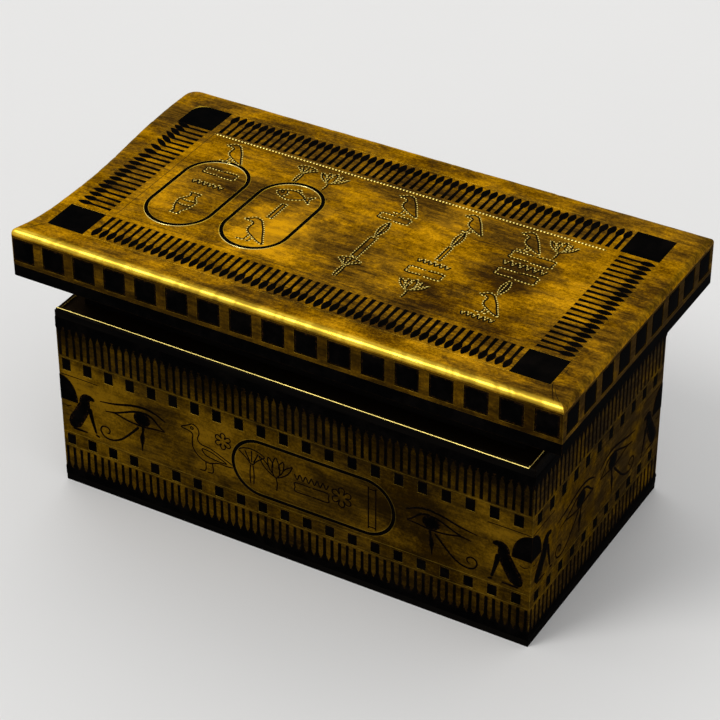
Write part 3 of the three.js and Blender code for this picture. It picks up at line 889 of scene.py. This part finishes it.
def ledgeGilt(side):
    # On a long side the ridge sinks slowly down the bevel, and climbs back where the short side's ridge
    # begins: section = high + share * (low - high)
    look = ledgeLook
    half = chestHalf[isLong[side]]
    at = np.linspace(-half, half, look["steps"][isLong[side]])
    if isLong[side]:
        at = np.unique(np.concatenate([at, np.arange(*look["fine"], 2.0)]))
        high, low = np.array(look["highRidge"]), np.array(look["lowRidge"])
        share = between(at, *look["sinks"]) * (1 - between(at, *look["climbs"]))
        depth, level = np.moveaxis(high + share[:, None, None] * (low - high), -1, 0)
        inset, lit = depth, 1 - between(at, *look["ends"])
    else:
        depth, level = np.array(look["shortRidge"]).T[:, None]
        inset = np.where(depth < look["flatFrom"], np.minimum(depth, look["shortMitre"]), depth)
        lit = np.ones(len(at))
    a = (at / half)[:, None] * (half - inset)
    b = level + waves(at, look["wave"])[:, None] * (depth < look["wavyTo"])
    points = np.stack(np.broadcast_arrays(a, b, -depth), axis=2)
    makePiece(f"ledge_gilt_{side}", "chest", [agedGilt],
              [{"face": chestSides[side], "points": points, "wearAndGlint": lit[:, None] * look["wearAndGlint"],
                "paintedShade": 1 - lit[:, None] * (1 - look["stain"])}])


for side in chestSides:
    ledgeGilt(side)
print("rails and ledge made")

# Chased lines, rings and the lap on the lid's top

topLook = {
    # the frame's lines: the beaded one at the back, bright with painted glints, and the dark ones, darkened
    # with painted shade, on the other sides
    "brightLine": [(-940, 385), (0, 379), (918, 374)],
    "darkLines": [[(-934, -367), (0, -367), (918, -367)], [(-934, -367), (-936, 0), (-940, 385)]],
    "rings": [(-738, -62.5, 144, 269.5), (-377.5, -61, 142.5, 268)],   # middle, half width, half length
    "ringHalf": 9.4,
    "tileCorner": (-1138, 568), "lapRadius": 66,
}
# black between two gilt lips; the wear and painted glint given are the outer lip's, and the inner one's are
# their mirror image
ringSection = strokeSection([-1.14, -1.0, -0.90, -0.82, 0.82, 0.90, 1.0, 1.14],
                            [-0.3, 1.6, 1.4, 0.30, 0.30, 1.4, 1.6, -0.3], [1.6, 2, 1.8, 0.2, 0, 0, 0, 0])
ringPick = [0, 0, 1, 1, 1, 0, 0]   # the material of each strip: gilt or black
ringStep = 5.0


def ringPatch(face, middle, halfWidth, halfLength, halfLine, gleam=0.0, height=1.0):
    # An oval with half round ends, longer along b where halfLength is more than halfWidth, else along a;
    # gleam is a painted highlight on the lips that face low b: the outer lip round the end at low b, and the
    # inner lip round the other
    radius = min(halfWidth, halfLength)
    turn = np.linspace(0, 2 * np.pi, 65) + np.pi / 64
    circle = np.stack([np.cos(turn), np.sin(turn)], axis=1)
    straight = np.array([halfWidth - radius, halfLength - radius]) * np.sign(circle)
    oval = np.column_stack([np.array(middle) + straight + radius * circle, np.full(len(turn), halfLine)])
    path = resampled(oval, lambda length: int(length / ringStep))
    patch = sweep(face, path, ringSection, height, closed=True)
    atEnd = (path[:, 1] - middle[1]) / radius - np.array([[-1], [1]]) * (halfLength / radius - 1)
    outer, inner = 0.1 + (0.15 + 0.65 * np.clip(atEnd * [[-1], [1]], 0, 1)) * gleam
    patch["wearAndGlint"] = outer[:, None] * ringSection["wearAndGlint"] + inner[:, None] * ringSection["wearAndGlint"][::-1]
    patch["pick"] = ringPick
    return patch


# Drawings about 100 across, middle at 0, 0: each is a list of (closed, points)


def petals(count, inner, outer):
    # radius = inner + (outer - inner) * root of the sine, with one arch for each petal
    turn = np.linspace(0, 2 * np.pi, count * 8, endpoint=False)
    reach = inner + (outer - inner) * np.sqrt(abs(np.sin(count * turn / 2)))
    return np.stack([reach * np.cos(turn), reach * np.sin(turn)], axis=1)


def dot(a, b):
    # a circle round a, b
    turn = np.linspace(0, 2 * np.pi, 16, endpoint=False)
    return np.stack([a + 2.5 * np.cos(turn), b + 2.5 * np.sin(turn)], axis=1)


def both(knots):
    # an open line and its mirror image
    return [(False, knots), (False, [(-a, b) for a, b in knots])]


drawings = {
    "heron": [
        (True, [(-48, 26), (-36, 33), (-27, 38), (-18, 34), (-15, 24), (-18, 12), (-12, 4), (4, 2), (24, -6),
                (48, -18), (40, -22), (20, -22), (2, -28), (-16, -22), (-27, -8), (-28, 8), (-27, 18),
                (-34, 23)]),
        (True, [(-10, -4), (6, -5), (24, -12), (35, -18), (14, -18), (-4, -14)]),
        (False, [(-4, -27), (-5, -44), (-16, -47)]), (False, [(8, -25), (9, -44), (-2, -47)]),
        (True, dot(-28, 30)),
    ],
    "bird": [
        (True, [(-46, 31), (-36, 38), (-24, 46), (-8, 41), (2, 28), (16, 8), (30, -18), (44, -44), (28, -40),
                (6, -27), (-14, -12), (-20, 4), (-19, 20), (-27, 28), (-36, 29)]),
        (False, [(-2, -24), (-4, -46), (-24, -48)]), (False, [(10, -28), (9, -46), (2, -48)]),
    ],
    "lotus": [
        (False, [(1, -48), (3, -28), (0, -8)]),
        *both([(0, -10), (-16, -2), (-34, 14), (-46, 38)]), *both([(-46, 38), (-28, 26), (-18, 14)]),
        *both([(-4, -6), (-18, 12), (-22, 34), (-20, 44)]), *both([(-20, 44), (-9, 30), (-8, 16)]),
        (False, [(-9, 0), (-10, 22), (0, 48), (10, 22), (9, 0)]),
    ],
    "papyrus": [
        *both([(-4, -48), (-5, -20), (-3, 4)]), *both([(-3, 4), (-12, 16), (-34, 34)]),
        (False, [(-34, 34), (-18, 42), (0, 45), (18, 42), (34, 34)]), (False, [(-6, 8), (0, 5), (6, 8)]),
        *both([(-4, 10), (-12, 26), (-17, 38)]), (False, [(0, 9), (0, 41)]),
    ],
    "rosette": [(True, petals(6, 15, 42))],
    "bars": both([(-2, 15), (-50, 15), (-52, 0), (-50, -15), (-2, -15)]),
    "zigzag": [(False, [(-54 + 9 * i, 9 * (-1) ** i) for i in range(13)])],
    "vase": [
        (True, [(-13, 46), (0, 47), (13, 46), (8, 36), (11, 26), (22, 10), (18, -16), (8, -38), (12, -46),
                (-12, -46), (-8, -38), (-18, -16), (-22, 10), (-11, 26), (-8, 36)]),
        (False, [(-20, 14), (0, 10), (20, 14)]), (False, [(-19, -6), (0, -10), (19, -6)]),
    ],
    "leaf": [
        (True, [(0, -46), (-10, -20), (-13, 8), (-8, 32), (0, 48), (8, 32), (13, 8), (10, -20)]),
        (False, [(0, -40), (1, 0), (0, 40)]),
    ],
    "fish": [
        (True, [(-48, 0), (-30, 16), (-4, 21), (20, 10), (30, 3), (48, 17), (42, 0), (48, -17), (30, -3),
                (20, -10), (-4, -21), (-30, -16)]),
        (False, [(-26, 14), (-20, 0), (-26, -14)]), (False, [(-12, 20), (0, 30), (10, 17)]),
        (True, dot(-35, 4)),
    ],
    "post": [(True, [(-8, 43), (-7, 45), (7, 45), (8, 43), (8, -43), (7, -45), (-7, -45), (-8, -43)])],
}
lidSigns = {
    "above_rings": [("bird", (-770, 282), 1.50), ("papyrus", (-442, 280), 1.45),
                    ("lotus", (-308, 280), 1.45)],
    "in_ring_1": [("bars", (-738, 112), 1.40), ("zigzag", (-738, 12), 1.40), ("vase", (-738, -158), 1.80)],
    "in_ring_2": [("fish", (-378, 112), 1.70), ("post", (-378, -24), 1.30), ("bird", (-378, -192), 1.80)],
    "column_1": [("bird", (72, 280), 1.55), ("bars", (66, 164), 1.30), ("leaf", (66, 66), 1.25),
                 ("post", (66, -86), 1.75), ("papyrus", (66, -250), 1.55)],
    "column_2": [("bird", (372, 284), 1.40), ("leaf", (368, 150), 1.25), ("post", (368, 30), 1.15),
                 ("zigzag", (368, -58), 1.35), ("bars", (368, -134), 1.45), ("lotus", (368, -262), 1.45)],
    "column_3": [("bird", (634, 278), 1.45), ("lotus", (758, 278), 1.40), ("bars", (691, 166), 1.75),
                 ("zigzag", (691, 98), 1.80), ("bars", (691, 28), 1.65), ("leaf", (691, -74), 1.10),
                 ("bird", (694, -200), 1.45), ("zigzag", (691, -304), 1.35)],
}


def trace(face, signs, kind):
    # Every stroke of the signs, each given as a drawing's name, its place and its size
    return [line(face, placed(knots, at, size), kind, closed)
            for name, at, size in signs for closed, knots in drawings[name]]


def decorateTop():
    look = topLook
    giltPiece("lid_line_bright", [line(lidTop, look["brightLine"], "beaded")])
    giltPiece("lid_lines_dark", [line(lidTop, knots, "furrow") for knots in look["darkLines"]])
    for index, (a, b, wide, long) in enumerate(look["rings"], 1):
        makePiece(f"lid_ring_{index}", "lid", [gilt, blackInlay],
                  [ringPatch(lidTop, (a, b), wide, long, look["ringHalf"], gleam=1.0)])
    for label, signs in lidSigns.items():
        giltPiece(f"lid_chasing_{label}", trace(lidTop, signs, "chased"))


def cornerLap():
    # Fills the square corner outside an arc: point = arc point + share * (corner edge point - arc point)
    radius, (a, b) = topLook["lapRadius"], topLook["tileCorner"]
    turn, share = np.meshgrid(np.linspace(0, np.pi / 2, 17), np.array([0, 0.06, 0.2, 0.6, 1]), indexing="ij")
    outward = np.stack([-np.cos(turn), np.sin(turn)], axis=2)
    middle = np.array([a + radius, b - radius])
    arc = middle + radius * outward
    square = middle + radius * outward / abs(outward).max(axis=2)[..., None]
    flat = arc + share[..., None] * (square - arc)
    rise = np.interp(share, [0, 0.06, 0.2, 1], [-0.2, 0.6, 0.9, 0.25])
    points = np.concatenate([flat, rise[..., None]], axis=2)
    wearAndGlint = np.interp(share, [0, 0.2, 0.5], [0.8, 0.5, 0])
    giltPiece("corner_lap", [{"face": lidTop, "points": points[::-1], "wearAndGlint": wearAndGlint[::-1]}])


cracks = {   # opened mitres: (x, y, half width) along each crack, dark inside with painted shade
    "right": [[(1140, -540, 0.6), (1146, -566, 1.8), (1156, -590, 2.6), (1172, -618, 2.4), (1186, -644, 1.6),
               (1196, -658, 0.6)],
              [(1166, -588, 0.5), (1184, -614, 1.6), (1202, -636, 1.6), (1220, -654, 0.6)],
              [(1149, -500, 0.4), (1153, -470, 1.2), (1150, -436, 1.0), (1156, -404, 0.4)]],
    "left": [[(-1140, -572, 1.2), (-1168, -594, 1.5), (-1190, -622, 1.2), (-1212, -648, 0.5)]],
}


def mitreCracks():
    for label, paths in cracks.items():
        giltPiece(f"mitre_crack_{label}", [dict(line(lidTop, knots, "crack"), settled=True, paintedShade=1.0)
                                           for knots in paths])


decorateTop()
cornerLap()
mitreCracks()
print("lid's top decorated")

# Figures and lines on the chest's faces

chestLook = {
    "lines": (646, 261, 190), "shortLine": 556,   # heights
    "shortReach": 198,   # how far in the short one runs
    # middle and size of the left and the right eye, on a long and on a short side
    "eyes": {True: ((-701, 460, 1.03), (667, 452, 1.0)), False: ((-165, 452, 1.05), (129, 452, 1.05))},
    "eyeWiden": 1.5, "pupil": (41, 35),
    "baboonFoot": (284, 277),   # of the left and the right animal
    "longRing": (121.5, 419.5, 376.5, 133.5, 9.0),   # middle, half width, half height, half line
    "signs": [("heron", (-379, 429), 2.6), ("rosette", (-302, 493), 0.95), ("papyrus", (-165, 420), 1.9),
              ("lotus", (-50, 420), 1.75), ("zigzag", (118, 446), 1.5), ("bars", (118, 392), 1.5),
              ("rosette", (258, 420), 1.15), ("post", (399, 418), 2.1)],
}
dome = {
    "wide": 88, "high": 128, "foot": 424, "lift": 0.9,
    # shares of the height and of the width at which its points lie
    "up": [0, 0.03, 0.12, 0.3, 0.5, 0.68, 0.82, 0.92, 0.98, 1], "across": [0, 0.03, 0.12, 0.4, 0.7, 1],
}
# Drawn with the animal facing -a, a measured from the chest's corner; (a, b, half width) in millimetres
baboon = {
    "body": [(-126, 180, 20), (-122, 152, 28), (-108, 118, 33), (-90, 84, 34), (-70, 50, 35), (-60, 24, 31),
             (-60, 6, 22)],
    "head": [(-116, 132, 26), (-121, 164, 28), (-130, 182, 25), (-148, 190, 16), (-173, 184, 7)],
    "arm": [(-142, 140, 15), (-152, 92, 11), (-163, 46, 8), (-172, 14, 6.5)],
    "hand": [(-166, 10, 6), (-180, 4, 5.5), (-190, 2, 4)],
    "foot": [(-50, 5, 7), (-90, 5, 6), (-128, 5, 4)],
    "tail": [(-52, 120, 2), (-30, 112, 2.5), (-14, 118, 1.5)],
}
# Drawn round the middle of the pupil, with the spiral towards +a
eye = {
    "brow": [(-117, 26, 2.5), (-66, 50, 3.8), (-16, 59, 4.4), (49, 51, 4.2), (131, 29, 3.4), (206, 17, 1.5)],
    "upperLid": [(-112, -24, 2), (-86, -8, 3.2), (-50, 24, 4), (-16, 33, 4.4), (37, 25, 4), (91, 2, 3.4),
                 (131, -13, 3), (181, -23, 1.5)],
    "lowerLid": [(-112, -24, 2), (-66, -27, 3), (0, -35, 3.4), (65, -31, 3.2), (131, -17, 2.8),
                 (181, -23, 1.5)],
    "tear": [(-6, -36, 7), (-2, -62, 4), (2, -96, 8.5), (4, -130, 4), (5, -162, 1.5)],
    "tail": [(16, -44, 4.4), (57, -90, 3.8), (98, -131, 3.6), (131, -152, 3.4), (164, -160, 3.2),
             (193, -152, 3.0), (207, -127, 2.9), (198, -106, 2.8), (176, -102, 2.7), (162, -114, 2.6),
             (166, -130, 2.4), (178, -134, 1.5)],
}


def painted(face, figure, at, size=1.0, mirror=False, widen=1.0):
    # Every stroke of a figure, its half widths multiplied by widen
    return [line(face, placed(knots, at, size, mirror) * (1, 1, widen), "painted")
            for knots in figure.values()]


def cornerDome(index, faces):
    # Half a dome on each of the two faces: point = share across * width at that height, on a flat foot
    up, across = np.meshgrid(dome["up"], dome["across"], indexing="ij")
    width = dome["wide"] * (1 - up ** 2.3) ** 0.5
    fromEdge = np.minimum(across * width, up * dome["high"])
    rise = dome["lift"] * np.interp(fromEdge, [0, 2, 6], [-0.4, 0.6, 1])
    wearAndGlint = np.where(rise < 0.7, 0.8, 0.0)
    patches = []
    for side, end in faces:
        a = end * (chestHalf[isLong[side]] - width * (1 - across) + dome["lift"] * across)
        points = np.stack([a, dome["foot"] + up * dome["high"], rise], axis=2)
        patches.append({"face": chestSides[side], "points": points[:, ::-end], "wearAndGlint": wearAndGlint[:, ::-end]})
    blackPiece(f"corner_dome_{index}", "chest", patches)


def decorateSide(side, face):
    look = chestLook
    half = chestHalf[isLong[side]]
    makePiece(f"fillets_{side}", "chest", [agedGilt],
              [line(face, [(1 - half, b), (0, b), (half - 1, b)], "fillet") for b in look["lines"]])
    b, reach = look["shortLine"], look["shortReach"]
    blackPiece(f"short_lines_{side}", "chest", [
        line(face, [(end * half, b), (end * (half - 100), b + 1), (end * (half - reach), b)], "short")
        for end in (-1, 1)])
    for index, (label, end) in enumerate((("left", -1), ("right", 1))):
        blackPiece(f"baboon_{side}_{label}", "chest",
                   painted(face, baboon, (end * half, look["baboonFoot"][index]), mirror=end < 0))
        a, b, size = look["eyes"][isLong[side]][index]
        lids = painted(face, eye, (a, b), size, mirror=end < 0, widen=look["eyeWiden"])
        wide, high = look["pupil"]
        blackPiece(f"eye_{side}_{label}", "chest", lids + [disc(face, (a, b), (wide * size, high * size))])
    if isLong[side]:
        a, b, wide, high, halfLine = look["longRing"]
        makePiece(f"long_ring_{side}", "chest", [agedGilt, blackInlay],
                  [ringPatch(face, (a, b), wide, high, halfLine, height=0.4)])
        blackPiece(f"outlines_{side}", "chest", trace(face, look["signs"], "outline"))


for side, face in chestSides.items():
    decorateSide(side, face)
sides = list(chestSides)
for index, side in enumerate(sides):
    cornerDome(index + 1, [(side, 1), (sides[(index + 1) % 4], -1)])
print("chest's faces decorated")

# Camera, floor and light

cameraLook = {
    "azimuth": 29.919,   # degrees, 0 looks along +Y
    "elevation": 34.656,
    "place": (4.515, -7.849, 6.902),
    "lens": 132.24,
}
studio = {
    "floorColour": (0.80, 0.79, 0.77, 1), "floorReach": 40,
    "skyColour": (0.97, 0.98, 1.0, 1), "skyStrength": 0.74,
    # soft suns: where the light comes from, its strength and its spread in degrees
    "suns": {"key": ((-0.42, -0.60, 0.80), 1.0, 24), "back": ((-0.45, 0.75, 0.62), 0.35, 60)},
}


def makeCamera(look):
    data = bpy.data.cameras.new("camera")
    data.sensor_width, data.lens = 36, look["lens"]
    data.clip_start, data.clip_end = 0.1, 200
    camera = bpy.data.objects.new("camera", data)
    a, e = math.radians(look["azimuth"]), math.radians(look["elevation"])
    back = Vector((math.sin(a) * math.cos(e), -math.cos(a) * math.cos(e), math.sin(e)))
    right = Vector((math.cos(a), math.sin(a), 0))
    turned = Matrix((right, back.cross(right), back)).transposed().to_4x4()
    camera.matrix_world = Matrix.Translation(look["place"]) @ turned
    bpy.context.scene.collection.objects.link(camera)
    bpy.context.scene.camera = camera


def makeStudio(look):
    reach = look["floorReach"]
    mesh = bpy.data.meshes.new("floor")
    corners = [(-reach, -reach, 0), (reach, -reach, 0), (reach, reach, 0), (-reach, reach, 0)]
    mesh.from_pydata(corners, [], [(0, 1, 2, 3)])
    mesh.materials.append(floorMaterial("floorPaper", look["floorColour"]))
    floor = bpy.data.objects.new("floor", mesh)
    bpy.context.scene.collection.objects.link(floor)
    for name, (comesFrom, strength, spreadDegrees) in look["suns"].items():
        data = bpy.data.lights.new(name, "SUN")
        data.energy, data.angle = strength, math.radians(spreadDegrees)
        lamp = bpy.data.objects.new(name, data)
        lamp.rotation_euler = (-Vector(comesFrom)).to_track_quat("-Z", "Y").to_euler()
        bpy.context.scene.collection.objects.link(lamp)
    world = bpy.data.worlds.new("studio")
    world.use_nodes = True
    sky = world.node_tree.nodes["Background"].inputs
    sky["Color"].default_value, sky["Strength"].default_value = look["skyColour"], look["skyStrength"]
    bpy.context.scene.world = world


makeCamera(cameraLook)
makeStudio(studio)
bpy.context.scene.view_settings.view_transform = "Standard"
print("camera, floor and light in place")
